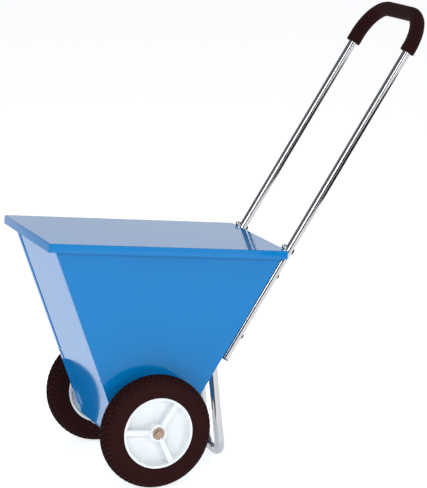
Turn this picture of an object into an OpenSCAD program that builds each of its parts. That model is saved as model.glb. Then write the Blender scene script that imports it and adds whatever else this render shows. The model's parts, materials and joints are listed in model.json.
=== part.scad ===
// Two-wheeled push cart with a V-shaped sheet-steel hopper, lift-off lid, U handle and U stand.
// The body is drawn level, with its origin at the axle's centre: X to the rear, Y to the right
// and Z up. in_body() then leans it back on its stand and puts the origin under its middle.

/* [Attitude] */
// How far the body leans back when it rests on its stand, in degrees
lean = 6; // [4:0.5:8]

/* [Hopper] */
// Outside length at the rim
rim_length = 545; // [450:5:655]
// Outside length at the floor
base_length = 106; // [88:1:128]
// Outside width
hopper_width = 302; // [250:1:363]
// Height from floor to rim
hopper_depth = 451; // [370:1:542]
// How far the middle of the rim sits behind the axle
rim_setback = 12; // [0:1:20]
// Underside of the floor below the axle's centre
floor_drop = 49; // [49:1:60]
// Thickness of the sheet steel
sheet = 1.5; // [1:0.1:2]
// Width of the side panels' flanges over the front wall
front_flange = 15; // [12:1:20]
// Width of the side panels' flanges over the rear wall
rear_flange = 28; // [26:1:34]
// Height above the axle of the relief cut in the front flanges
relief_height = 97; // [80:1:120]
// Width of the inward lip along the top of the rear wall
rear_lip = 14; // [10:1:20]

/* [Outlet] */
// Length of one outlet slot, across the cart
slot_length = 28; // [20:1:34]
// Width of one outlet slot, along the cart
slot_width = 22; // [16:1:24]
// Distance between slot middles
slot_pitch = 38; // [36:1:44]
// Gate width
gate_width = 130; // [124:1:156]
// Gate travel
gate_travel = 30; // [28:1:34]
// Gap above and below the gate
gate_gap = 0.4; // [0.3:0.1:0.6]

/* [Lid] */
// Overhang of the lid past the hopper at the front
lid_front_overhang = 12.2; // [9:0.1:16]
// Overhang of the lid past the hopper at each side
lid_side_overhang = 15.2; // [12:0.1:20]
// How far the lid's rear edge stops short of the hopper's rear edge
lid_rear_inset = 2.5; // [2:0.1:5]
// Depth of the down-turned rim
lid_rim = 19; // [14:1:26]
// Room between the lid's rim and the hopper's out-turned lip
lid_gap = 0.6; // [0.4:0.1:1.2]

/* [Wheels] */
// Outside diameter of the tyres
wheel_d = 254; // [212:1:304]
// Width of a tyre
tyre_width = 44; // [38:1:50]
// Diameter of the hub where the tyre sits
rim_d = 158; // [140:1:170]
// Distance between the wheels' middle planes
track = 381; // [376:1:457]
// Width of a hub's rim and boss
hub_width = 43; // [38:1:48]
// Diameter of the axle
axle_d = 16; // [13:0.5:19]
// Running gap on the radius, between axle and bushes
running_gap = 0.06; // [0.03:0.01:0.1]
// Number of ribs on each face of a hub
rib_count = 3; // [3:1:6]

/* [Handle] */
// Outside diameter of the handle and post tubes
tube_d = 19; // [16:0.5:22]
// Wall of the tubes
tube_wall = 1.5; // [1:0.1:2]
// Distance between the two legs, middle to middle
handle_spacing = 270; // [255:1:276]
// From the rim up along the tube to the middle of the crossbar
handle_reach = 607; // [500:1:730]
// Bend radius of the handle, at the tube's middle
handle_bend = 79; // [60:1:90]
// Gap between the posts and the side panels' flanges, filled by washers
post_standoff = 2.75; // [2:0.25:5]
// Length of a post below the rim
post_drop = 275; // [240:1:300]
// Upper post bolt, below the rim
upper_bolt_drop = 59; // [50:1:70]
// Lower post bolt, below the rim
lower_bolt_drop = 214; // [190:1:225]
// Outside diameter of the foam grip
grip_d = 34; // [28:1:40]
// Length of the grip down each leg, from the crossbar's middle
grip_leg = 95; // [92:1:140]

/* [Stand] */
// Outside diameter of the stand tube
stand_d = 22; // [19:0.5:25]
// Distance between the stand's legs, middle to middle
stand_spacing = 90; // [84:1:110]
// From the rim down the rear wall to the stand's bend
stand_bend_drop = 268; // [255:1:290]
// Length of the stand that lies on the rear wall
stand_grip = 100; // [90:1:120]
// Lean of the stand's legs against the body, in degrees
stand_splay = 11.8; // [8:0.1:16]

/* [Hidden] */
$fn = 64;
joint_overlap = 1;           // how far cutting tools run past a surface

blue = "#2a8ac8";
chrome = "#c8ccd0";
white = "#f2f4f6";
black = "#241614";
nylon = "#e4e0d4";
zinc = "#b4a89c";

// Hopper outline. Heights are above the axle, and the outline is the outside of the side panels.
wheel_r = wheel_d / 2;
floor_z = -floor_drop;
wall_base_z = floor_z + sheet;
rim_z = floor_z + hopper_depth;
front_run = (rim_length / 2 - rim_setback - base_length / 2) / hopper_depth;
rear_run = (rim_length / 2 + rim_setback - base_length / 2) / hopper_depth;
front_angle = atan(front_run);
rear_angle = atan(rear_run);
front_skin = sheet / cos(front_angle);   // the sheet's thickness, measured level
rear_skin = sheet / cos(rear_angle);
half_width = hopper_width / 2;
inner_half_width = half_width - sheet;
relief_size = 8;
function front_x(z) = -base_length / 2 - (z - floor_z) * front_run;
function rear_x(z) = base_length / 2 + (z - floor_z) * rear_run;

// Lid
lid_seat_gap = 0.3;
lid_under_z = rim_z + lid_seat_gap;
lid_top_z = lid_under_z + sheet;
lid_front_x = front_x(rim_z) - lid_front_overhang;
lid_rear_x = rear_x(rim_z) - lid_rear_inset;
lid_half_width = half_width + lid_side_overhang;
lip_front_x = lid_front_x + sheet + lid_gap;
lip_half_width = lid_half_width - sheet - lid_gap;

// Outlet and gate
slot_count = 3;
gate_under_z = floor_z - gate_gap - sheet;
rail_under_z = gate_under_z - gate_gap - sheet;
rail_foot = 12;
rail_lap = 7;
rail_inner_y = gate_width / 2 + gate_gap;
rail_length = base_length - 2 * sheet;
rivet_d = 4;
rivet_head_d = 7.5;
rivet_head_h = 1.6;
rail_rivet_x = rail_length / 2 - 12;
tongue_width = 44;
tongue_reach = 95;
tab_height = 34;
knob_d = 26;
knob_screw_d = 5;
knob_z = gate_under_z + tab_height - 14;
knob_gap = 0.2;

// Bolts
bolt_d = 6;
bolt_hole_d = bolt_d + 0.4;
thread_gap = 0.05;
head_d = 13;
head_h = 3.6;
nut_flats = 10;
nut_h = 5;
dome_nut_h = 10;
nut_collar = 1;              // round stretch between a dome nut's hexagon and its dome
washer_d = 14;
washer_t = 1.2;

// Bearings, axle and what turns on it
bearing_d = 26;
bearing_flange_d = 50;
bearing_flange_t = 3;
bearing_length = 12;
bearing_rivet_r = 18.5;
axle_bore_d = axle_d + 2 * running_gap;
side_play = 0.4;
cap_t = 2;
cap_d = 28;
cap_slot = 3;
cap_slot_count = 6;
axle_stub = 4;
hub_outer_y = track / 2 + hub_width / 2;
hub_inner_y = track / 2 - hub_width / 2;
axle_end_y = hub_outer_y + side_play + cap_t + axle_stub;
bearing_face_y = half_width + bearing_flange_t;
axle_washer_d = 32;
axle_washer_t = 1.6;
axle_washer_y = hub_inner_y - side_play - axle_washer_t;
spacer_d = 22;
spacer_y = bearing_face_y + side_play;
boss_d = 38;
rim_wall = 5;
web_t = 6;
rib_width = 11;
rib_inset = 2;
dish_taper = 5;
bush_d = 22;
drive_pin_d = 5;
drive_pin_y = track / 2 - hub_width / 4;
agitator_d = 24;
agitator_length = 150;
finger_d = 6;
finger_reach = 40;
finger_count = 6;
finger_pitch = 22;

// Tyre section: a round tread on upright side walls, with one raised ring on each side
tyre_shoulder_r = wheel_r - 10;
sidewall_ring_r = wheel_r - 22;
sidewall_ring = 1;
bead_d = rim_d;

// Handle and posts. Distances u run up the rear wall's slope from the rim.
tube_r = tube_d / 2;
tube_bore = tube_d - 2 * tube_wall;
post_offset = post_standoff + tube_r;
post_x = rear_x(rim_z) + post_offset * cos(rear_angle);
post_z = rim_z - post_offset * sin(rear_angle);
splice_u = 5;
joint_u = -16;
joint_gap = 0.5;
sleeve_d = tube_bore - 0.2;
sleeve_bore = sleeve_d - 2 * tube_wall;
sleeve_top_u = 25;
sleeve_low_u = -75;
half_spacing = handle_spacing / 2;
plug_h = 3;
plug_depth = 14;
notch_half_width = nut_flats / 2 + 3;
nut_tip_x = post_x + splice_u * sin(rear_angle)
    - (tube_r + washer_t + dome_nut_h) * cos(rear_angle);
notch_x = nut_tip_x - 1.5;
grip_clearance = 0.1;

// Stand. Its upper ends lie on the rear wall's own face.
stand_r = stand_d / 2;
stand_bore = stand_d - 2 * tube_wall;
half_stand = stand_spacing / 2;
stand_turn = rear_angle + stand_splay;
stand_bend = 60;
stand_corner = 30;
bend_thinning = 0.1;         // on the diameter
bend_lap = 0.5;              // straight tube drawn into the bend
stand_tangent = stand_bend * tan(stand_turn / 2);
stand_offset = stand_r - sheet;          // from the outline of the side panels
stand_x = rear_x(rim_z) + stand_offset * cos(rear_angle);
stand_z = rim_z - stand_offset * sin(rear_angle);
stand_top_u = -stand_bend_drop + stand_grip;
stand_bolts_u = [-stand_bend_drop + 35, -stand_bend_drop + 80];
stand_bend_x = stand_x - stand_bend_drop * sin(rear_angle);
stand_bend_z = stand_z - stand_bend_drop * cos(rear_angle);
// Length of a leg from the bend's corner to the foot, so that the foot rests on the ground
leg_fall = sin(stand_splay) * sin(lean) + cos(stand_splay) * cos(lean);
foot_height = -stand_bend_x * sin(lean) + stand_bend_z * cos(lean) + wheel_r - stand_r;
leg_length = foot_height / leg_fall;

// The whole cart's reach to the front and rear, leaning, which sets the origin in X
grip_x = post_x + handle_reach * sin(rear_angle);
grip_z = post_z + handle_reach * cos(rear_angle);
reach_front = lid_front_x * cos(lean) + (lid_top_z - lid_rim) * sin(lean);
reach_rear = grip_x * cos(lean) + grip_z * sin(lean) + grip_d / 2;
centre_x = (reach_front + reach_rear) / 2;

// ---------- placing ----------

module in_body()
    translate([-centre_x, 0, wheel_r]) rotate([0, lean, 0]) children();

// X out of the rear wall, Z up its slope, on the middle line of the posts
module on_post(side, u)
    translate([post_x, side * half_spacing, post_z]) rotate([0, rear_angle, 0])
        translate([0, 0, u]) children();

// The same on the middle line of the stand's upper ends
module on_stand(side, u)
    translate([stand_x, side * half_stand, stand_z]) rotate([0, rear_angle, 0])
        translate([0, 0, u]) children();

module both_sides()
    for (side = [-1, 1]) mirror([0, side > 0 ? 1 : 0, 0]) children();

// Z along the cart's Y, out of the left side
module along_axle(y) translate([0, -y, 0]) rotate([90, 0, 0]) children();

// ---------- shared shapes ----------

module ring(outer, inner) {
    difference() {
        circle(d = outer);
        circle(d = inner);
    }
}

module pipe(length, outer, inner) linear_extrude(length) ring(outer, inner);

// A bend that starts upwards at the origin and turns towards +X
module elbow(radius, angle, outer, inner)
    translate([radius, 0, 0]) rotate([90, 0, 180])
        rotate_extrude(angle = angle) translate([radius, 0]) ring(outer, inner);

// Half a U: a leg upwards from the origin, a square bend towards +Y and half the crossbar
module half_u(leg, radius, half_span, outer, inner) {
    pipe(leg - radius, outer, inner);
    translate([0, 0, leg - radius]) rotate([0, 0, 90]) {
        elbow(radius, 90, outer, inner);
        translate([radius, 0, radius]) rotate([0, 90, 0]) pipe(half_span - radius, outer, inner);
    }
}

// A disc or rod whose axis is X, starting at x
module rod_x(x, length, d) translate([x, 0, 0]) rotate([0, 90, 0]) cylinder(h = length, d = d);

module hex_nut(x, height, direction)
    difference() {
        translate([x, 0, 0]) rotate([0, 90 * direction, 0])
            cylinder(h = height, d = nut_flats / cos(30), $fn = 6);
        rod_x(x - height - joint_overlap, 2 * (height + joint_overlap), bolt_d + 2 * thread_gap);
    }

// A low domed head on X, seated at x and rising outwards
module dome_head(x, d, height)
    translate([x, 0, 0]) rotate([0, 90, 0]) rotate_extrude()
        intersection() {
            translate([0, height - dome_radius(d, height)]) circle(r = dome_radius(d, height));
            square([d / 2, height]);
        }
function dome_radius(d, height) = (d * d / 4 + height * height) / (2 * height);

// A bolt along X: its head seated at outside, its plain end at inside
module bolt(outside, inside, d) {
    dome_head(outside, head_d, head_h);
    rod_x(inside, outside - inside, d);
}

module washer_x(x, outer, thick)
    difference() {
        rod_x(x, thick, outer);
        rod_x(x - joint_overlap, thick + 2 * joint_overlap, bolt_hole_d);
    }

module rivet(low, high) {
    translate([0, 0, low]) cylinder(h = high - low, d = rivet_d);
    translate([0, 0, high]) cylinder(h = rivet_head_h, d1 = rivet_head_d, d2 = rivet_d);
    translate([0, 0, low - rivet_head_h]) cylinder(h = rivet_head_h, d1 = rivet_d, d2 = rivet_head_d);
}

// ---------- hopper ----------

// An upright strip of the body, given its outline in X and Z, from y1 to y2
module strip(points, y1, y2)
    translate([0, y2, 0]) rotate([90, 0, 0]) linear_extrude(y2 - y1) polygon(points);

module front_wall()
    color(blue) in_body() {
        strip([
            [front_x(wall_base_z) + front_skin, wall_base_z],
            [front_x(rim_z) + front_skin, rim_z],
            [front_x(rim_z) + 2 * front_skin, rim_z],
            [front_x(wall_base_z) + 2 * front_skin, wall_base_z]
        ], -inner_half_width, inner_half_width);
        translate([lip_front_x, -inner_half_width, rim_z - sheet])
            cube([front_x(rim_z) + 1.5 * front_skin - lip_front_x, 2 * inner_half_width, sheet]);
    }

module rear_wall()
    color(blue) in_body() difference() {
        union() {
            strip([
                [rear_x(wall_base_z) - 2 * rear_skin, wall_base_z],
                [rear_x(rim_z) - 2 * rear_skin, rim_z],
                [rear_x(rim_z) - rear_skin, rim_z],
                [rear_x(wall_base_z) - rear_skin, wall_base_z]
            ], -inner_half_width, inner_half_width);
            translate([rear_x(rim_z) - 1.5 * rear_skin - rear_lip, -inner_half_width, rim_z - sheet])
                cube([rear_lip, 2 * inner_half_width, sheet]);
        }
        wall_bolt_holes();
    }

// Holes through the rear wall and its flanges for the post bolts and stand bolts
module wall_bolt_holes()
    both_sides() {
        for (drop = [upper_bolt_drop, lower_bolt_drop])
            on_post(-1, -drop) rod_x(-2 * tube_d, 2 * tube_d, bolt_hole_d);
        for (u = stand_bolts_u)
            on_stand(-1, u) rod_x(-2 * stand_d, 2 * stand_d, bolt_hole_d);
    }

// One side of the hopper, drawn on the left
module side_panel() {
    top_z = rim_z - sheet;
    difference() {
        union() {
            strip([
                [front_x(wall_base_z), wall_base_z],
                [front_x(rim_z), rim_z],
                [rear_x(rim_z), rim_z],
                [rear_x(wall_base_z), wall_base_z]
            ], -half_width, -inner_half_width);
            strip([
                [front_x(wall_base_z), wall_base_z],
                [front_x(top_z), top_z],
                [front_x(top_z) + front_skin, top_z],
                [front_x(wall_base_z) + front_skin, wall_base_z]
            ], -half_width, -half_width + front_flange);
            strip([
                [rear_x(wall_base_z) - rear_skin, wall_base_z],
                [rear_x(rim_z) - rear_skin, rim_z],
                [rear_x(rim_z), rim_z],
                [rear_x(wall_base_z), wall_base_z]
            ], -half_width, -half_width + rear_flange);
            // Out-turned lip that the lid fits over
            translate([lip_front_x, -lip_half_width, top_z])
                cube([lid_rear_x - lip_front_x, lip_half_width - inner_half_width, sheet]);
        }
        // Relief cut in the front flange
        translate([front_x(relief_height) - sheet, -inner_half_width, relief_height])
            cube([relief_size, front_flange, relief_size]);
        along_axle(inner_half_width - joint_overlap)
            cylinder(h = sheet + 2 * joint_overlap, d = bearing_d);
        bearing_rivet_places() translate([0, 0, -sheet - joint_overlap])
            cylinder(h = sheet + 2 * joint_overlap, d = rivet_d);
        wall_bolt_holes();
    }
}
module left_panel() color(blue) in_body() side_panel();
module right_panel() color(blue) in_body() mirror([0, 1, 0]) side_panel();

module floor_plate()
    color(blue) in_body() difference() {
        translate([-base_length / 2, -half_width, floor_z])
            cube([base_length, hopper_width, sheet]);
        outlet_slots(floor_z);
        rail_rivet_places() translate([0, 0, -joint_overlap])
            cylinder(h = sheet + 2 * joint_overlap, d = rivet_d);
    }

module outlet_slots(z)
    for (i = [0 : slot_count - 1])
        translate([-slot_width / 2, (i - (slot_count - 1) / 2) * slot_pitch - slot_length / 2,
                   z - joint_overlap])
            cube([slot_width, slot_length, sheet + 2 * joint_overlap]);

// ---------- outlet gate ----------

module rail_rivet_places()
    for (x = [-rail_rivet_x, rail_rivet_x], side = [-1, 1])
        translate([x, side * (rail_inner_y + rail_foot / 2), floor_z]) children();

module gate_rails()
    color(zinc) in_body() difference() {
        both_sides()
            translate([-rail_length / 2, 0, 0]) rotate([90, 0, 90]) linear_extrude(rail_length)
                polygon([
                    [-rail_inner_y - rail_foot, floor_z],
                    [-rail_inner_y, floor_z],
                    [-rail_inner_y, gate_under_z - gate_gap],
                    [-rail_inner_y + rail_lap, gate_under_z - gate_gap],
                    [-rail_inner_y + rail_lap, rail_under_z],
                    [-rail_inner_y - rail_foot, rail_under_z]
                ]);
        rail_rivet_places() translate([0, 0, rail_under_z - floor_z - joint_overlap])
            cylinder(h = floor_z - rail_under_z + 2 * joint_overlap, d = rivet_d);
    }

module rail_rivets()
    color(zinc) in_body()
        rail_rivet_places() rivet(rail_under_z - floor_z, sheet);

module gate()
    color(zinc) in_body() difference() {
        union() {
            translate([-base_length / 2 + 3, -gate_width / 2, gate_under_z])
                cube([base_length - 6, gate_width, sheet]);
            translate([0, -tongue_width / 2, gate_under_z])
                cube([tongue_reach, tongue_width, sheet]);
            translate([tongue_reach - sheet, -tongue_width / 2, gate_under_z])
                cube([sheet, tongue_width, tab_height]);
        }
        translate([-gate_travel, 0, 0]) outlet_slots(gate_under_z);
        translate([0, 0, knob_z])
            rod_x(tongue_reach - sheet - joint_overlap, sheet + 2 * joint_overlap, knob_screw_d);
    }

module gate_knob()
    color(black) in_body() translate([tongue_reach, 0, knob_z]) rotate([0, 90, 0])
        rotate_extrude() difference() {
            union() {
                square([knob_d / 4, knob_d / 2]);
                translate([0, knob_d * 0.55]) intersection() {
                    circle(d = knob_d);
                    translate([0, -knob_d / 2]) square([knob_d / 2, knob_d]);
                }
            }
            square([knob_screw_d / 2 + thread_gap, knob_d * 0.7]);
            translate([0, -knob_d]) square([knob_d, knob_d]);
        }

module gate_screw()
    color(zinc) in_body() translate([tongue_reach - sheet, 0, knob_z]) {
        rod_x(0, knob_d * 0.6, knob_screw_d);
        mirror([1, 0, 0]) dome_head(0, head_d * 0.75, head_h * 0.8);
    }

// ---------- bearings and axle ----------

module bearing_rivet_places()
    for (z = [-bearing_rivet_r, bearing_rivet_r])
        translate([0, -half_width, z]) rotate([90, 0, 0]) children();

module bearing()
    difference() {
        union() {
            along_axle(half_width) cylinder(h = bearing_flange_t, d = bearing_flange_d);
            along_axle(half_width + bearing_flange_t - bearing_length)
                cylinder(h = bearing_length, d = bearing_d);
        }
        along_axle(half_width - bearing_length)
            cylinder(h = 2 * bearing_length, d = axle_bore_d);
        bearing_rivet_places() cylinder(h = bearing_flange_t + joint_overlap, d = rivet_d);
    }
module left_bearing() color(nylon) in_body() bearing();
module right_bearing() color(nylon) in_body() mirror([0, 1, 0]) bearing();

module bearing_rivets()
    color(zinc) in_body() both_sides()
        bearing_rivet_places() rivet(-sheet, bearing_flange_t);

module axle()
    color(zinc) in_body() difference() {
        along_axle(-axle_end_y) {
            chamfer = 1;
            cylinder(h = chamfer, d1 = axle_d - 2 * chamfer, d2 = axle_d);
            translate([0, 0, chamfer]) cylinder(h = 2 * (axle_end_y - chamfer), d = axle_d);
            translate([0, 0, 2 * axle_end_y - chamfer])
                cylinder(h = chamfer, d1 = axle_d, d2 = axle_d - 2 * chamfer);
        }
        translate([0, drive_pin_y, -axle_d]) cylinder(h = 2 * axle_d, d = drive_pin_d);
        translate([0, 0, -axle_d]) cylinder(h = 2 * axle_d, d = drive_pin_d);
    }

// Sleeve with fingers that stir the load over the outlet slots
module agitator()
    color(zinc) in_body() difference() {
        union() {
            along_axle(-agitator_length / 2) cylinder(h = agitator_length, d = agitator_d);
            for (i = [0 : finger_count - 1])
                translate([0, (i - (finger_count - 1) / 2) * finger_pitch, 0])
                    rotate([0, i * 60, 0]) translate([0, 0, axle_d / 2 + 1])
                        cylinder(h = finger_reach - axle_d / 2 - 1, d = finger_d);
        }
        along_axle(-agitator_length / 2 - joint_overlap)
            cylinder(h = agitator_length + 2 * joint_overlap, d = axle_bore_d);
        translate([0, 0, -agitator_d]) cylinder(h = 2 * agitator_d, d = drive_pin_d);
    }

module agitator_pin()
    color(chrome) in_body()
        translate([0, 0, -agitator_d / 2 - 1]) cylinder(h = agitator_d + 2, d = drive_pin_d);

module on_axle_ring(y, length, outer)
    along_axle(y) difference() {
        cylinder(h = length, d = outer);
        translate([0, 0, -joint_overlap])
            cylinder(h = length + 2 * joint_overlap, d = axle_bore_d);
    }

module axle_spacers()
    color(zinc) in_body() both_sides()
        on_axle_ring(spacer_y, axle_washer_y - spacer_y, spacer_d);

module axle_washers()
    color(zinc) in_body() both_sides()
        on_axle_ring(axle_washer_y, axle_washer_t, axle_washer_d);

// Push-on caps with toothed edges
module axle_caps()
    color(zinc) in_body() both_sides()
        along_axle(hub_outer_y + side_play) difference() {
            cylinder(h = cap_t, d1 = cap_d, d2 = cap_d - 2);
            translate([0, 0, -joint_overlap]) cylinder(h = cap_t + 2 * joint_overlap, d = axle_d);
            for (i = [0 : cap_slot_count - 1])
                rotate([0, 0, i * 360 / cap_slot_count])
                    translate([axle_d / 2 + 1.5, -cap_slot / 2, -joint_overlap])
                        cube([cap_d, cap_slot, cap_t + 2 * joint_overlap]);
        }

// ---------- wheels ----------

// Half of the hub's section: rim, dished web and boss, from its middle plane outwards
module hub_section(bore)
    polygon([
        [bore / 2, 0],
        [bore / 2, hub_width / 2],
        [boss_d / 2, hub_width / 2],
        [boss_d / 2, web_t / 2],
        [rim_d / 2 - rim_wall - dish_taper, web_t / 2],
        [rim_d / 2 - rim_wall, web_t / 2 + dish_taper],
        [rim_d / 2 - rim_wall, hub_width / 2],
        [rim_d / 2, hub_width / 2],
        [rim_d / 2, 0]
    ]);

module hub(bore) {
    rib_start = boss_d / 2 - 2;
    rib_length = rim_d / 2 - rim_wall / 2 - rib_start;
    for (face = [0, 1]) mirror([0, 0, face]) {
        rotate_extrude() hub_section(bore);
        for (i = [0 : rib_count - 1])
            rotate([0, 0, 180 + i * 360 / rib_count])
                translate([rib_start, -rib_width / 2, 0])
                    cube([rib_length, rib_width, hub_width / 2 - rib_inset]);
    }
}

module right_hub()
    color(white) in_body() mirror([0, 1, 0]) difference() {
        along_axle(track / 2) hub(axle_bore_d);
        translate([0, -drive_pin_y, -boss_d]) cylinder(h = 2 * boss_d, d = drive_pin_d);
    }
module left_hub() color(white) in_body() along_axle(track / 2) hub(bush_d);

module left_hub_bush()
    color(nylon) in_body()
        on_axle_ring(hub_inner_y, hub_width, bush_d);

module drive_pin()
    color(chrome) in_body()
        translate([0, drive_pin_y, -boss_d / 2]) cylinder(h = boss_d, d = drive_pin_d);

module tyre()
    rotate_extrude() {
        difference() {
            union() {
                translate([bead_d / 2, -tyre_width / 2])
                    square([tyre_shoulder_r - bead_d / 2, tyre_width]);
                intersection() {
                    translate([wheel_r - tread_radius(), 0]) circle(r = tread_radius(), $fn = 128);
                    translate([tyre_shoulder_r - 1, -tyre_width / 2])
                        square([wheel_r, tyre_width]);
                }
            }
        }
        for (side = [-1, 1])
            translate([sidewall_ring_r, side * tyre_width / 2]) circle(r = sidewall_ring, $fn = 24);
    }
// The tread's arc passes through both shoulders
function tread_radius() =
    (pow(wheel_r - tyre_shoulder_r, 2) + pow(tyre_width / 2, 2)) / (2 * (wheel_r - tyre_shoulder_r));
module right_tyre() color(black) in_body() along_axle(-track / 2) tyre();
module left_tyre() color(black) in_body() along_axle(track / 2) tyre();

// ---------- handle and posts ----------

module post()
    difference() {
        on_post(-1, -post_drop) pipe(post_drop + joint_u - joint_gap, tube_d, tube_bore);
        for (drop = [upper_bolt_drop, lower_bolt_drop])
            on_post(-1, -drop) rod_x(-tube_d, 2 * tube_d, bolt_hole_d);
    }
module left_post() color(chrome) in_body() post();
module right_post() color(chrome) in_body() mirror([0, 1, 0]) post();

module post_plugs()
    color(black) in_body() both_sides()
        on_post(-1, -post_drop) {
            translate([0, 0, -plug_h]) cylinder(h = plug_h, d = tube_d);
            cylinder(h = plug_depth, d = tube_bore);
        }

// From the head outside, through tube, washer and wall, to the nut inside
post_bolt_in = -tube_r - post_standoff - 2 * sheet - nut_h - 2;
module post_bolts()
    color(chrome) in_body() both_sides() {
        on_post(-1, -upper_bolt_drop) bolt(tube_r, post_bolt_in, bolt_d);
        on_post(-1, -lower_bolt_drop) bolt(tube_r, post_bolt_in, bolt_d);
    }

module post_nuts()
    color(zinc) in_body() both_sides()
        for (drop = [upper_bolt_drop, lower_bolt_drop])
            on_post(-1, -drop) hex_nut(-tube_r - post_standoff - 2 * sheet, nut_h, -1);

module post_washers()
    color(black) in_body() both_sides()
        for (drop = [upper_bolt_drop, lower_bolt_drop])
            on_post(-1, -drop) washer_x(-tube_r - post_standoff, washer_d, post_standoff);

module handle_tube()
    color(chrome) in_body() both_sides() difference() {
        on_post(-1, joint_u)
            half_u(handle_reach - joint_u, handle_bend, half_spacing, tube_d, tube_bore);
        on_post(-1, splice_u) rod_x(-tube_d, 2 * tube_d, bolt_hole_d);
    }

module splice_sleeves()
    color(zinc) in_body() both_sides() difference() {
        on_post(-1, sleeve_low_u) pipe(sleeve_top_u - sleeve_low_u, sleeve_d, sleeve_bore);
        for (u = [splice_u, -upper_bolt_drop])
            on_post(-1, u) rod_x(-tube_d, 2 * tube_d, bolt_hole_d);
    }

module splice_bolts()
    color(chrome) in_body() both_sides()
        on_post(-1, splice_u)
            bolt(tube_r + washer_t, -tube_r - washer_t - nut_h, bolt_d);

module splice_washers()
    color(chrome) in_body() both_sides()
        on_post(-1, splice_u) {
            washer_x(tube_r, washer_d, washer_t);
            washer_x(-tube_r - washer_t, washer_d, washer_t);
        }

// Dome nuts: a hexagon with a rounded, closed end
module splice_nuts()
    color(chrome) in_body() both_sides()
        on_post(-1, splice_u) rotate([0, 0, 180]) difference() {
            union() {
                translate([tube_r + washer_t, 0, 0]) rotate([0, 90, 0])
                    cylinder(h = nut_h, d = nut_flats / cos(30), $fn = 6);
                rod_x(tube_r + washer_t, nut_h + nut_collar, nut_flats);
                dome_head(tube_r + washer_t + nut_h + nut_collar, nut_flats,
                          dome_nut_h - nut_h - nut_collar);
            }
            rod_x(tube_r, washer_t + nut_h, bolt_d + 2 * thread_gap);
        }

module grip()
    color(black) in_body() both_sides()
        on_post(-1, handle_reach - grip_leg)
            half_u(grip_leg, handle_bend, half_spacing, grip_d, tube_d + 2 * grip_clearance);

// ---------- stand ----------

// Half of the stand, from its upper end down the rear wall, out to the foot and to the middle.
// Its bend is drawn a hair thinner than the straight tubes that run into it, as bending leaves it.
module half_stand_run(outer, inner)
    on_stand(-1, stand_top_u) rotate([180, 0, 0]) {
        upper = stand_grip - stand_tangent;
        pipe(upper + bend_lap, outer, inner);
        translate([0, 0, upper]) {
            elbow(stand_bend, stand_turn, outer - bend_thinning, inner + bend_thinning);
            translate([stand_bend * (1 - cos(stand_turn)), 0, stand_bend * sin(stand_turn)])
                rotate([0, stand_turn, 0]) mirror([0, 1, 0]) translate([0, 0, -bend_lap])
                    half_u(leg_length - stand_tangent + bend_lap, stand_corner, half_stand,
                           outer, inner);
        }
    }

module stand_tube()
    color(chrome) in_body() both_sides() difference() {
        half_stand_run(stand_d, stand_bore);
        for (u = stand_bolts_u)
            on_stand(-1, u) rod_x(-stand_d, 2 * stand_d, bolt_hole_d);
    }

stand_bolt_in = -stand_r - sheet - nut_h - 2;
module stand_bolts()
    color(chrome) in_body() both_sides()
        for (u = stand_bolts_u)
            on_stand(-1, u) bolt(stand_r, stand_bolt_in, bolt_d);

module stand_nuts()
    color(zinc) in_body() both_sides()
        for (u = stand_bolts_u)
            on_stand(-1, u) hex_nut(-stand_r - sheet, nut_h, -1);

module stand_plugs()
    color(black) in_body() both_sides()
        on_stand(-1, stand_top_u) {
            cylinder(h = plug_h, d = stand_d);
            translate([0, 0, -plug_depth]) cylinder(h = plug_depth, d = stand_bore);
        }

// ---------- lid ----------

module lid()
    color(blue) in_body() difference() {
        translate([lid_front_x, -lid_half_width, lid_top_z - lid_rim])
            cube([lid_rear_x - lid_front_x, 2 * lid_half_width, lid_rim]);
        // Hollow underneath, open at the rear
        translate([lid_front_x + sheet, -lid_half_width + sheet, lid_top_z - lid_rim - joint_overlap])
            cube([lid_rear_x - lid_front_x, 2 * (lid_half_width - sheet),
                  lid_rim - sheet + joint_overlap]);
        // Notches that let the lid lift past the dome nuts
        both_sides()
            translate([notch_x, -half_spacing - notch_half_width, lid_top_z - lid_rim])
                cube([lid_rear_x - notch_x + joint_overlap, 2 * notch_half_width,
                      lid_rim + joint_overlap]);
    }

front_wall();
rear_wall();
left_panel();
right_panel();
floor_plate();
gate_rails();
rail_rivets();
left_bearing();
right_bearing();
bearing_rivets();
left_post();
right_post();
post_plugs();
post_bolts();
post_nuts();
post_washers();
handle_tube();
splice_sleeves();
splice_bolts();
splice_nuts();
splice_washers();
grip();
stand_tube();
stand_bolts();
stand_nuts();
stand_plugs();
lid();
gate();
gate_knob();
gate_screw();
axle();
agitator();
agitator_pin();
axle_spacers();
axle_washers();
axle_caps();
right_hub();
right_tyre();
drive_pin();
left_hub();
left_tyre();
left_hub_bush();
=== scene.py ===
# %% [markdown]
# # A two-wheeled garden push cart
# The cart is a V-shaped hopper of folded sheet steel on two moulded wheels, with a loose lid, a
# bright U handle and a bent-tube stand. Its solids come from the CAD model. They are loaded first,
# and everything made here stands in the same place, in metres, with +X to the rear and +Z up.

# %% Load the solids
import json
import math

import bmesh
import bpy
from mathutils import Matrix, Vector, noise


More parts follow.
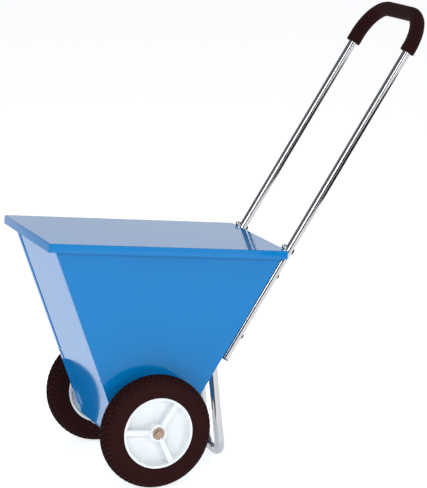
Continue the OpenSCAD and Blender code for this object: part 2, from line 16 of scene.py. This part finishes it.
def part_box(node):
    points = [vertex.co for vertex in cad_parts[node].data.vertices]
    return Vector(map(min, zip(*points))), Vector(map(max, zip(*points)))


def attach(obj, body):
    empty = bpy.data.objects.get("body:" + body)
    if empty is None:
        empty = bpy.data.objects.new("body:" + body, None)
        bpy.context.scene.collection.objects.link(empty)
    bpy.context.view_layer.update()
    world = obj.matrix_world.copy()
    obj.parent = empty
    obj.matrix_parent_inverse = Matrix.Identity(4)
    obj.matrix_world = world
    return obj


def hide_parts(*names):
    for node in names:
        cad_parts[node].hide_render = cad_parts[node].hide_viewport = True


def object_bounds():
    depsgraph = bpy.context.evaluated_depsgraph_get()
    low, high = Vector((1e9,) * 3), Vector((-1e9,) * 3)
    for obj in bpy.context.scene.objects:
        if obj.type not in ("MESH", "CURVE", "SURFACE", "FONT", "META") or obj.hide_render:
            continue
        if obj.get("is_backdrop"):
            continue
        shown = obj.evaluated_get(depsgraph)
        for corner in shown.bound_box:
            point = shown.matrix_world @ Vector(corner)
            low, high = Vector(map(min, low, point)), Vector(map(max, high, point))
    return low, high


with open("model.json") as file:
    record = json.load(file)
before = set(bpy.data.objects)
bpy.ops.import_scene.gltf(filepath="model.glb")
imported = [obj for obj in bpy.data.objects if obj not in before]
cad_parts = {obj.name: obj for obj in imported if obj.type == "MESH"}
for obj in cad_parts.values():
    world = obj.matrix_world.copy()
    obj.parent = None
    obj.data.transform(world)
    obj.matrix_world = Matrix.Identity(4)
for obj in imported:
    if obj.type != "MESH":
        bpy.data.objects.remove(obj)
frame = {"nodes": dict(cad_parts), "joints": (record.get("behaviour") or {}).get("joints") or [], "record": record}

record = frame["record"]
for leftover in [o for o in bpy.data.objects if o.type in {"MESH", "CAMERA", "LIGHT"}]:
    if leftover.name not in frame["nodes"]:
        bpy.data.objects.remove(leftover)
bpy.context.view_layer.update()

MM = 0.001

# %% [markdown]
# ## Camera
# A long lens from well back keeps the cart's upright edges nearly parallel, as in a catalogue
# picture. The camera stands to the left and a little ahead of the cart, just above its handle.

# %% Camera
CAMERA_PLACE = Vector((-1.893, -4.7145, 1.587))
CAMERA_AIM = Vector((-0.085, -0.174, 0.5305))
CAMERA_ROLL = math.radians(0.25)

camera_data = bpy.data.cameras.new("camera")
camera_data.lens = 169.6
camera_data.sensor_width = 36.0
camera_data.clip_end = 200.0
camera = bpy.data.objects.new("camera", camera_data)
bpy.context.scene.collection.objects.link(camera)
look = (CAMERA_AIM - CAMERA_PLACE).to_track_quat("-Z", "Y").to_matrix().to_4x4()
camera.matrix_world = Matrix.Translation(CAMERA_PLACE) @ look @ Matrix.Rotation(CAMERA_ROLL, 4, "Z")
bpy.context.scene.camera = camera
print("camera is", round((CAMERA_AIM - CAMERA_PLACE).length, 2), "m from its aim")

# %% [markdown]
# ## Studio
# Glossy enamel and chrome show what stands around them. A white floor and a low white wall give
# the enamel its pale sheen at a low angle. The grey ceiling above the wall and the dark screen on
# the camera's side give the chrome its dark lines and keep the side wall's blue deep. Large lamps
# on the camera's side light the blue itself. A dark card beside the cart shows in reflections only,
# and gives the tubes their dark edge.


# %% Colours and nodes
def colour(hex_code, alpha=1.0):
    """An sRGB hex colour as linear red, green, blue and alpha."""
    channels = []
    for start in (1, 3, 5):
        value = int(hex_code[start:start + 2], 16) / 255
        channels.append(value / 12.92 if value <= 0.04045 else ((value + 0.055) / 1.055) ** 2.4)
    return (*channels, alpha)


def add(tree, kind, inputs=None, **settings):
    """Adds one node. inputs maps a socket's name or number to a value or to a node's output."""
    made = tree.nodes.new(kind)
    for name, value in settings.items():
        setattr(made, name, value)
    for key, value in (inputs or {}).items():
        if isinstance(value, bpy.types.NodeSocket):
            tree.links.new(value, made.inputs[key])
        else:
            made.inputs[key].default_value = value
    return made


# %% Walls, ceiling and screen
SCREEN_SIDE = Vector((0.05, -1.0, 0.12)).normalized()
WALL = colour("#ffffff")
CEILING = colour("#767a7f")
SCREEN = colour("#3c4044")
WALL_TOP = 0.24
CEILING_FROM = 0.42

world = bpy.data.worlds.new("studio_room")
world.use_nodes = True
bpy.context.scene.world = world
room = world.node_tree
room.nodes.clear()
towards = add(room, "ShaderNodeTexCoord").outputs["Generated"]
height = add(room, "ShaderNodeSeparateXYZ", {0: towards}).outputs["Z"]
ceiling_mask = add(room, "ShaderNodeMapRange", {"Value": height, "From Min": WALL_TOP,
                                                "From Max": CEILING_FROM},
                   interpolation_type="SMOOTHSTEP")
facing = add(room, "ShaderNodeVectorMath", {0: towards, 1: SCREEN_SIDE}, operation="DOT_PRODUCT")
screen_mask = add(room, "ShaderNodeMapRange", {"Value": facing.outputs["Value"], "From Min": 0.72,
                                               "From Max": 0.86}, interpolation_type="SMOOTHSTEP")
wall_mix = add(room, "ShaderNodeMix", {0: ceiling_mask.outputs[0], 6: WALL, 7: CEILING},
               data_type="RGBA")
room_mix = add(room, "ShaderNodeMix", {0: screen_mask.outputs[0], 6: wall_mix.outputs[2], 7: SCREEN},
               data_type="RGBA")
lit_room = add(room, "ShaderNodeBackground", {"Color": room_mix.outputs[2], "Strength": 1.0})
add(room, "ShaderNodeOutputWorld", {"Surface": lit_room.outputs[0]})


# %% Lamps
def soft_box(name, place, aim, size, power):
    """A large square lamp with soft edges to its shadows."""
    data = bpy.data.lights.new(name, "AREA")
    data.size = size
    data.energy = power
    lamp = bpy.data.objects.new(name, data)
    lamp.matrix_world = Matrix.Translation(place) @ (
        Vector(aim) - Vector(place)).to_track_quat("-Z", "Y").to_matrix().to_4x4()
    bpy.context.scene.collection.objects.link(lamp)


soft_box("key_lamp", (-2.4, -3.6, 2.6), (-0.1, 0.0, 0.4), 1.6, 54)
soft_box("fill_lamp", (1.4, -4.2, 1.8), (-0.1, 0.0, 0.4), 1.8, 46)
soft_box("top_lamp", (-0.4, -0.6, 3.4), (-0.1, 0.0, 0.4), 1.6, 38)

# %% Floor
FLOOR_REACH = 30.0
floor_mesh = bpy.data.meshes.new("studio_floor")
floor_mesh.from_pydata(
    [(x * FLOOR_REACH, y * FLOOR_REACH, 0.0) for x, y in ((-1, -1), (1, -1), (1, 1), (-1, 1))],
    [], [(0, 1, 2, 3)])
floor = bpy.data.objects.new("studio_floor", floor_mesh)
bpy.context.scene.collection.objects.link(floor)
floor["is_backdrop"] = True

floor_paint = bpy.data.materials.new("studio_paper")
floor_paint.use_nodes = True
paper = floor_paint.node_tree
paper.nodes.clear()
grain = add(paper, "ShaderNodeTexNoise", {"Scale": 3.0, "Detail": 3.0})
tone = add(paper, "ShaderNodeMix", {0: grain.outputs["Fac"], 6: colour("#f4f4f4"), 7: colour("#f8f8f8")},
           data_type="RGBA")
# Lit a little from below, like a light table, so that it stays white under a grey ceiling
matt = add(paper, "ShaderNodeBsdfPrincipled", {"Base Color": tone.outputs[2], "Roughness": 0.9,
                                               "Specular IOR Level": 0.1,
                                               "Emission Color": colour("#ffffff"),
                                               "Emission Strength": 0.72})
add(paper, "ShaderNodeOutputMaterial", {"Surface": matt.outputs[0]})
floor_mesh.materials.append(floor_paint)

# %% Dark card
CARD_X = 1.25
CARD_Y = (-3.2, 0.2)
CARD_TOP = 0.45
card_mesh = bpy.data.meshes.new("dark_card")
card_mesh.from_pydata(
    [(CARD_X, y, z) for y, z in ((CARD_Y[0], 0.0), (CARD_Y[1], 0.0), (CARD_Y[1], CARD_TOP),
                                 (CARD_Y[0], CARD_TOP))], [], [(0, 1, 2, 3)])
card = bpy.data.objects.new("dark_card", card_mesh)
bpy.context.scene.collection.objects.link(card)
card.visible_camera = False
card.visible_shadow = False
card.visible_diffuse = False
card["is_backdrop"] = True

felt = bpy.data.materials.new("black_felt")
felt.use_nodes = True
felt_tree = felt.node_tree
felt_tree.nodes.clear()
nap = add(felt_tree, "ShaderNodeTexNoise", {"Scale": 60.0, "Detail": 4.0})
felt_tone = add(felt_tree, "ShaderNodeMix", {0: nap.outputs["Fac"], 6: colour("#151112"),
                                             7: colour("#1d1718")}, data_type="RGBA")
felt_skin = add(felt_tree, "ShaderNodeBsdfPrincipled", {"Base Color": felt_tone.outputs[2],
                                                        "Roughness": 0.95})
add(felt_tree, "ShaderNodeOutputMaterial", {"Surface": felt_skin.outputs[0]})
card_mesh.materials.append(felt)

bpy.context.scene.view_settings.view_transform = "Standard"

# %% [markdown]
# ## Finishes
# Each finish is a Principled shader whose colour, roughness and bump vary with the place on the
# piece, measured in metres. `pattern` gives noise whose grains have a real size, so its scale is
# one over that size.


# %% Starting a finish
def start_finish(name):
    """A new material and its tree, with the place on the piece as its first socket."""
    material = bpy.data.materials.new(name)
    material.use_nodes = True
    tree = material.node_tree
    tree.nodes.clear()
    return material, tree, add(tree, "ShaderNodeTexCoord").outputs["Object"]


def pattern(tree, place, grain_mm, detail=3.0, roughness=0.55):
    """Noise from 0 to 1 with grains of that size."""
    made = add(tree, "ShaderNodeTexNoise", {"Vector": place, "Scale": 1 / (grain_mm * MM),
                                            "Detail": detail, "Roughness": roughness})
    return made.outputs["Fac"]


def between(tree, factor, low, high):
    """low where factor is about 0.3, high where it is about 0.7."""
    made = add(tree, "ShaderNodeMapRange", {"Value": factor, "From Min": 0.3, "From Max": 0.7,
                                            "To Min": low, "To Max": high})
    return made.outputs[0]


def two_tones(tree, factor, first, second):
    return add(tree, "ShaderNodeMix", {0: factor, 6: colour(first), 7: colour(second)},
               data_type="RGBA").outputs[2]


def relief(tree, height, height_mm, under=None):
    """Bump of a real height. under is the bump it lies on."""
    inputs = {"Height": height, "Distance": height_mm * MM, "Strength": 1.0}
    if under is not None:
        inputs["Normal"] = under
    return add(tree, "ShaderNodeBump", inputs).outputs["Normal"]


def close_finish(tree, **inputs):
    """The Principled shader and the output. Socket names are given with _ for a space."""
    sockets = {name.replace("_", " "): value for name, value in inputs.items()}
    shader = add(tree, "ShaderNodeBsdfPrincipled", sockets)
    add(tree, "ShaderNodeOutputMaterial", {"Surface": shader.outputs[0]})


finishes = {}

# %% [markdown]
# ### Blue stoving enamel
# Sprayed enamel flows out glossy but never flat: it keeps a fine orange peel about 3 mm across,
# and the thin sheet under it is slightly wavy, which bends the reflections.

# %% Blue stoving enamel
ORANGE_PEEL_MM = 3.0
PEEL_DEPTH_MM = 0.006
SHEET_WAVE_MM = 160.0
WAVE_DEPTH_MM = 0.1
FADE_MM = 220.0
HANDLING_MM = 45.0


def enamel(name, light, dark):
    material, tree, place = start_finish(name)
    wave = relief(tree, pattern(tree, place, SHEET_WAVE_MM, detail=1.0), WAVE_DEPTH_MM)
    peel = relief(tree, pattern(tree, place, ORANGE_PEEL_MM, detail=1.0), PEEL_DEPTH_MM, wave)
    close_finish(
        tree,
        Base_Color=two_tones(tree, pattern(tree, place, FADE_MM), dark, light),
        Roughness=between(tree, pattern(tree, place, HANDLING_MM, detail=5.0), 0.05, 0.1),
        IOR=1.5,
        Specular_IOR_Level=0.27,
        Normal=peel,
    )
    return material


finishes["blue_enamel"] = enamel("blue_stoving_enamel", "#0479be", "#0273b6")
# A paler enamel for the outside folds: a painted highlight, standing for the bright line that each fold's arc
# catches
fold_highlight_enamel = enamel("blue_stoving_enamel_painted_fold_highlight", "#67b0e8", "#4d9fdd")

# %% [markdown]
# ### Chromium plate
# Polished tube is plated bright. Its polishing leaves faint streaks, so the roughness is low and
# only just uneven. Bolt heads are plated over a duller surface.


# %% Chromium plate
def chromium(name, smooth, dull, streak_mm):
    material, tree, place = start_finish(name)
    streak = pattern(tree, place, streak_mm, detail=6.0)
    close_finish(
        tree,
        Base_Color=two_tones(tree, pattern(tree, place, 60.0), "#b2b3b5", "#bfbfc0"),
        Metallic=1.0,
        Roughness=between(tree, streak, smooth, dull),
        Normal=relief(tree, pattern(tree, place, 25.0, detail=2.0), 0.005),
    )
    return material


finishes["chrome_tube"] = chromium("chromium_plated_tube", 0.05, 0.08, 6.0)
finishes["chrome_hardware"] = chromium("chromium_plated_fasteners", 0.1, 0.2, 2.0)

# %% [markdown]
# ### Zinc plate and blued spring steel
# Bright zinc is greyer and duller than chromium, with soft patches a few millimetres across. The
# push-on caps and pins are hardened spring steel, which has a brown heat colour.


# %% Zinc plate and spring steel
def dull_steel(name, light, dark, patch_mm, smooth, rough):
    material, tree, place = start_finish(name)
    patches = add(tree, "ShaderNodeTexVoronoi", {"Vector": place, "Scale": 1 / (patch_mm * MM)})
    mottle = pattern(tree, place, patch_mm * 2)
    close_finish(
        tree,
        Base_Color=two_tones(tree, mottle, light, dark),
        Metallic=1.0,
        Roughness=between(tree, patches.outputs["Distance"], smooth, rough),
        Normal=relief(tree, pattern(tree, place, 0.9, detail=4.0), 0.02),
    )
    return material


finishes["zinc"] = dull_steel("zinc_plated_steel", "#c4c2bc", "#a7a49c", 3.0, 0.28, 0.45)
finishes["spring_steel"] = dull_steel("heat_coloured_spring_steel", "#c3ab9c", "#86705f", 2.5, 0.3, 0.5)

# %% [markdown]
# ### Moulded plastics
# The hubs are white polypropylene with the fine texture of their mould. The bearings are nylon,
# which is creamier and lets light in a little way. Plugs, washers and the gate's knob are black.


# %% Moulded plastics
def moulded(name, light, dark, roughness, grain_mm, depth_mm, glow=0.0):
    material, tree, place = start_finish(name)
    scuffs = pattern(tree, place, 12.0, detail=6.0, roughness=0.65)
    close_finish(
        tree,
        Base_Color=two_tones(tree, pattern(tree, place, 30.0, detail=4.0), light, dark),
        Roughness=between(tree, scuffs, roughness - 0.06, roughness + 0.1),
        IOR=1.49,
        Subsurface_Weight=glow,
        Subsurface_Scale=0.002,
        Normal=relief(tree, pattern(tree, place, grain_mm, detail=2.0), depth_mm),
    )
    return material


finishes["white_plastic"] = moulded("moulded_white_polypropylene", "#e8ecee", "#dfe4e8", 0.3, 1.2, 0.01, 0.1)
finishes["nylon"] = moulded("moulded_nylon", "#e2ddcf", "#d2ccba", 0.42, 0.8, 0.01, 0.15)
finishes["black_plastic"] = moulded("moulded_black_plastic", "#17171a", "#1f1f22", 0.45, 0.7, 0.03)

# %% [markdown]
# ### Tyre rubber
# Semi-solid tyres are moulded in one piece from a brownish black rubber. The mould leaves a matt
# grain, and pale dust settles in patches.

# %% Tyre rubber
finishes["tyre"], tree, place = start_finish("moulded_tyre_rubber")
dust = pattern(tree, place, 14.0, detail=7.0, roughness=0.65)
grain = relief(tree, pattern(tree, place, 0.8, detail=4.0), 0.05)
close_finish(
    tree,
    Base_Color=two_tones(tree, between(tree, dust, 0.0, 1.0), "#220c0c", "#2c1212"),
    Roughness=between(tree, dust, 0.68, 0.9),
    Specular_IOR_Level=0.08,
    Normal=relief(tree, pattern(tree, place, 5.0), 0.06, grain),
)

# %% [markdown]
# ### Foam grip
# Closed-cell foam has pores about 0.4 mm across. They are drawn 1.4 mm across here, because real
# ones are too fine to show. Its open skin scatters light, so it is matt with a faint sheen.

# %% Foam grip
FOAM_PORE_MM = 1.4

finishes["foam"], tree, place = start_finish("closed_cell_foam")
pores = add(tree, "ShaderNodeTexVoronoi", {"Vector": place, "Scale": 1 / (FOAM_PORE_MM * MM)},
            feature="SMOOTH_F1")
close_finish(
    tree,
    Base_Color=two_tones(tree, pattern(tree, place, 20.0, detail=5.0), "#1f0c0c", "#281010"),
    Roughness=between(tree, pattern(tree, place, 4.0), 0.82, 0.97),
    Specular_IOR_Level=0.05,
    Sheen_Weight=0.02,
    Sheen_Roughness=0.5,
    Normal=relief(tree, pores.outputs["Distance"], 0.25),
)
print("finishes:", sorted(finishes))

# %% Put the finishes on the solids
slot_of = {part["node"]: part["material_slot"] for part in record["subparts"]}
for name, solid in frame["nodes"].items():
    for socket in solid.material_slots:
        socket.material = finishes[slot_of[name]]
print("finished solids:", len(slot_of))

# %% [markdown]
# ## Folded sheet
# A press brake can't fold steel to a knife edge: the outside of each fold is an arc of about
# twice the sheet's thickness, and that arc catches the light as a bright line. The solids have
# sharp folds, so each sheet piece is copied, its folds are found as long edges between two wide
# faces, and they are bevelled. The cut edges stay sharp.


# %% Finding and rounding folds
WIDE_FACE = 5 * MM
SHARP = math.radians(30)


def face_breadth(face):
    """About the narrower side of a long face."""
    return 2 * face.calc_area() / face.calc_perimeter()


def folds(mesh, convex):
    return [edge for edge in mesh.edges
            if len(edge.link_faces) == 2 and edge.is_convex == convex
            and edge.calc_face_angle() > SHARP
            and min(face_breadth(face) for face in edge.link_faces) > WIDE_FACE]


def copy_solid(node):
    """A clean copy of a solid's mesh: joined vertices and no lines across flat faces."""
    mesh = bmesh.new()
    mesh.from_mesh(frame["nodes"][node].data)
    bmesh.ops.remove_doubles(mesh, verts=mesh.verts, dist=0.001 * MM)
    bmesh.ops.dissolve_limit(mesh, angle_limit=math.radians(0.3), verts=mesh.verts, edges=mesh.edges)
    return mesh


def put_in_scene(mesh, name, node, crease=math.radians(35)):
    """Makes the object, gives it the node's finish and lets it stand for the node.
    Flat faces stay flat, and the rest is smooth up to the crease angle."""
    for face in mesh.faces:
        face.smooth = face_breadth(face) < WIDE_FACE or len(face.verts) == 4
    for edge in mesh.edges:
        edge.smooth = len(edge.link_faces) == 2 and edge.calc_face_angle() < crease
    data = bpy.data.meshes.new(name)
    mesh.to_mesh(data)
    mesh.free()
    made = bpy.data.objects.new(name, data)
    bpy.context.scene.collection.objects.link(made)
    data.materials.clear()
    data.materials.append(finishes[slot_of[node]])
    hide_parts(node)
    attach(made, body_with(node))
    return made


def body_with(node):
    return next(body for body, nodes in record["behaviour"]["bodies"].items() if node in nodes)


def bevel(mesh, edges, radius_mm, segments):
    """Rounds the edges and returns the new faces."""
    made = bmesh.ops.bevel(mesh, geom=edges, offset=radius_mm * MM, segments=segments, profile=0.5,
                           affect="EDGES", clamp_overlap=True)
    return made["faces"]


# %% Hopper sheets and lid
OUTER_FOLD_MM = 2.2
INNER_FOLD_MM = 1.0
SHEET_NODES = ["left_panel", "right_panel", "front_wall", "rear_wall", "lid"]

for node in SHEET_NODES:
    mesh = copy_solid(node)
    for convex, radius in ((True, OUTER_FOLD_MM), (False, INNER_FOLD_MM)):
        found = folds(mesh, convex)
        for face in bevel(mesh, found, radius, segments=5):
            # outer fold faces take the second finish, the paler enamel of the painted fold highlight
            face.material_index = 1 if convex else 0
        print(node, "outer" if convex else "inner", "folds:", len(found))
    sheet_piece = put_in_scene(mesh, node + "_sheet", node)
    # the second finish is the paler enamel that paints a highlight on the outer folds
    sheet_piece.data.materials.append(fold_highlight_enamel)

# %% [markdown]
# ## Hubs
# A moulded hub has no sharp corner anywhere, because the melt can't fill one. Every edge of the
# rim, ribs and boss gets a small round.

# %% Hubs
HUB_EDGE_MM = 0.7
for node in ("left_hub", "right_hub"):
    mesh = copy_solid(node)
    bevel(mesh, [edge for edge in mesh.edges if edge.calc_face_angle() > SHARP], HUB_EDGE_MM, segments=2)
    put_in_scene(mesh, node + "_moulding", node)

# %% [markdown]
# ## Tyres
# The tyre is turned like a lathe piece, but its tread is cut into rows of small blocks that are
# staggered from row to row. The section is a list of points from the tread's middle to the bead.
# Each point knows its row, and drops to the groove where its row has a gap.

# %% Tyre section
BLOCKS = 62
GROOVE_MM = 3.2
SHOULDER_DROP_MM = 10.0
low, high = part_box("left_tyre")
tyre_r = (high.z - low.z) / 2 / MM
bead_r = (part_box("left_hub")[1].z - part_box("left_hub")[0].z) / 2 / MM
tread_half = (high.y - low.y) / 2 / MM - 1.0
axle_place = Vector(next(j["pos_m"] for j in frame["joints"] if j["name"] == "axle_spin"))
print("tyre radius", round(tyre_r, 1), "bead radius", round(bead_r, 1), "half width", round(tread_half, 1))


def crown(y):
    """The tread's radius at y, an arc that falls to the shoulders."""
    return tyre_r - SHOULDER_DROP_MM * (y / tread_half) ** 2


# Distance from the middle, drop below the crown, and row. Row None is never cut.
TREAD_POINTS = [
    (0.0, 0.0, 0), (2.4, 0.0, 0), (4.2, 0.0, 0), (4.8, GROOVE_MM, 0), (6.2, GROOVE_MM, 1),
    (6.8, 0.0, 1), (9.4, 0.0, 1), (12.0, 0.0, 1), (12.6, GROOVE_MM, 1), (13.8, GROOVE_MM, 2),
    (14.4, 0.0, 2), (17.0, 0.0, 2), (19.6, 0.3, 2), (21.2, 0.9, 2),
]
# Distance from the middle and radius, down the side wall from the shoulder to the bead
SIDE_POINTS = [
    (22.0, tyre_r - 12.0, 2), (22.0, tyre_r - 15.0, 2), (21.4, tyre_r - 16.5, None),
    (21.6, tyre_r - 20.4, None), (22.3, tyre_r - 21.3, None), (22.6, tyre_r - 22.0, None),
    (22.3, tyre_r - 22.7, None), (21.7, tyre_r - 23.6, None), (21.9, tyre_r - 33.0, None),
    (21.8, tyre_r - 42.0, None), (21.3, bead_r + 2.6, None), (20.4, bead_r + 1.0, None),
    (19.6, bead_r, None),
]
half_section = [(y, crown(y) - drop, row) for y, drop, row in TREAD_POINTS] + SIDE_POINTS
section = [(-y, r, row) for y, r, row in reversed(half_section[1:])] + half_section

# Places along one block's pitch: even rows are cut at the first two, odd rows half a pitch on
PITCH_STEPS = (0.0, 0.28, 0.36, 0.42, 0.5, 0.78, 0.86, 0.92)
EVEN_GAPS = (0, 1)
ODD_GAPS = (4, 5)

# How a gap is cut at the tread's edge, where it runs out over the shoulder
EDGE_BAND_MM = 1.5
EDGE_CUT_MM = 1.3
SIDE_CUT_MM = 1.2
SIDE_FROM_MM = 2


# %% Tyre mesh
def tyre_point(y, r, row, step):
    """One point of the section at a step of the pitch, cut down where its row has a gap."""
    if row is not None and step in (EVEN_GAPS if row % 2 == 0 else ODD_GAPS):
        if abs(y) > tread_half - EDGE_BAND_MM:
            y -= math.copysign(EDGE_CUT_MM, y)
        if abs(y) < tread_half - SIDE_FROM_MM:
            r = min(r, crown(min(abs(y), tread_half)) - GROOVE_MM)
        else:
            r -= SIDE_CUT_MM
    return y, r


def make_tyre(node):
    centre_y = (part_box(node)[0].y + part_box(node)[1].y) / 2
    mesh = bmesh.new()
    rings = []
    for block in range(BLOCKS):
        for step, fraction in enumerate(PITCH_STEPS):
            angle = 2 * math.pi * (block + fraction) / BLOCKS
            ring = []
            for y, r, row in section:
                y, r = tyre_point(y, r, row, step)
                ring.append(mesh.verts.new((axle_place.x + r * MM * math.cos(angle), centre_y + y * MM,
                                            axle_place.z + r * MM * math.sin(angle))))
            rings.append(ring)
    for here, there in zip(rings, rings[1:] + rings[:1]):
        for i in range(len(section)):
            after = (i + 1) % len(section)
            mesh.faces.new((here[i], here[after], there[after], there[i]))
    bmesh.ops.recalc_face_normals(mesh, faces=mesh.faces)
    return put_in_scene(mesh, node + "_treaded", node, crease=math.radians(38))


for node in ("left_tyre", "right_tyre"):
    tyre_piece = make_tyre(node)
    print(tyre_piece.name, "has", len(tyre_piece.data.polygons), "faces")

# %% [markdown]
# ## Foam grip
# A foam sleeve is slid wet over the bare tube. It is a little fatter in places, wrinkles on the
# inside of each bend, and its cut ends round over. The sleeve is swept along the handle's own
# middle line: up one leg, round a bend, along the crossbar and down the other leg.

# %% The handle's middle line
GRIP_LEGS = {-1: 0.089, 1: 0.099}   # pushed a little to the right when it was fitted
BEND = 0.079
TUBE_R = 0.0095
STEP = 0.0035

grip_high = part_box("grip")[1]
leg_mount = next(m for m in record["mounts"] if m["name"] == "right_handle_leg")
leg_y = leg_mount["pos_m"][1]
along_leg = Vector(leg_mount["axis"]).normalized()
grip_r = grip_high.y - leg_y
across = Vector((0.0, 1.0, 0.0))
bar_middle = Vector((grip_high.x - grip_r, 0.0, grip_high.z - grip_r))


# The cut ends: share of the foam's thickness, and distance from the end
END_PROFILE = [(0.4, 0.0), (0.9, 0.0), (0.96, 0.0004), (0.99, 0.0012)]


def grip_line():
    """Points of the middle line with their directions and how far round a bend they are.
    The first and last points lie close together, for the round of the cut ends."""
    line = []
    for side in (-1, 1):
        straight = GRIP_LEGS[side] - BEND
        foot = bar_middle + across * side * leg_y - along_leg * GRIP_LEGS[side]
        count = max(2, round(straight / STEP))
        steps = [back for _, back in END_PROFILE] + [straight * i / count for i in range(1, count)]
        half = [(foot + along_leg * step, along_leg, 0.0) for step in steps]
        centre = foot + along_leg * straight - across * side * BEND
        turns = round(BEND * math.pi / 2 / STEP)
        for i in range(turns + 1):
            angle = math.pi / 2 * i / turns
            place = centre + (across * side * math.cos(angle) + along_leg * math.sin(angle)) * BEND
            heading = along_leg * math.cos(angle) - across * side * math.sin(angle)
            half.append((place, heading, math.sin(2 * angle)))
        line.append(half)
    left, right = line
    bar_from, bar_to = left[-1][0], right[-1][0]
    bars = round((bar_to - bar_from).length / STEP)
    bar = [(bar_from.lerp(bar_to, i / bars), across, 0.0) for i in range(1, bars)]
    back = [(place, -heading, bend) for place, heading, bend in reversed(right)]
    return left + bar + back


# %% Foam grip mesh
ROUND = 40
WRINKLE_MM = 0.45
WRINKLE_PITCH = 0.011
LUMP_MM = 0.3
LUMPS_PER_M = 45
SKIN_INSET = 0.0003   # keeps the lumps inside the solid's outline
BORE_GAP = 0.0001


def foam_radius(place, outward, bend, travelled):
    """The sleeve's radius in one direction, with lumps, and wrinkles inside the bend."""
    lumps = noise.noise(place * LUMPS_PER_M) * LUMP_MM * MM
    inside = max(0.0, outward) * bend
    wrinkle = inside * (0.5 + 0.5 * math.cos(2 * math.pi * travelled / WRINKLE_PITCH)) * WRINKLE_MM * MM
    return grip_r - SKIN_INSET + lumps - wrinkle


def make_grip():
    line = grip_line()
    flat_normal = along_leg.cross(across).normalized()
    mesh = bmesh.new()
    rings = []
    travelled = 0.0
    hollow = bar_middle - along_leg * GRIP_LEGS[-1]
    for index, (place, heading, bend) in enumerate(line):
        if index:
            travelled += (place - line[index - 1][0]).length
        side = heading.cross(flat_normal).normalized()
        inward = (hollow - place).normalized()
        end = min(index, len(line) - 1 - index)
        ring = []
        for k in range(ROUND):
            angle = 2 * math.pi * k / ROUND
            out = side * math.cos(angle) + flat_normal * math.sin(angle)
            radius = foam_radius(place + out * grip_r, out.dot(inward), bend, travelled)
            if end < len(END_PROFILE):
                radius = TUBE_R + (radius - TUBE_R) * END_PROFILE[end][0]
            ring.append(mesh.verts.new(place + out * radius))
        rings.append(ring)
    bore = [[mesh.verts.new(line[i][0] + (v.co - line[i][0]).normalized() * (TUBE_R + BORE_GAP))
             for v in rings[i]] for i in (0, -1)]
    rings = [bore[0]] + rings + [bore[1]]
    for here, there in zip(rings, rings[1:]):
        for k in range(ROUND):
            mesh.faces.new((here[k], here[(k + 1) % ROUND], there[(k + 1) % ROUND], there[k]))
    bmesh.ops.recalc_face_normals(mesh, faces=mesh.faces)
    return put_in_scene(mesh, "foam_grip", "grip")


foam_grip = make_grip()
print("foam grip:", len(foam_grip.data.vertices), "vertices")

# %% Print the visual size
low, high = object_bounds()
print("visual size in mm:", [round(1000 * s, 1) for s in high - low])
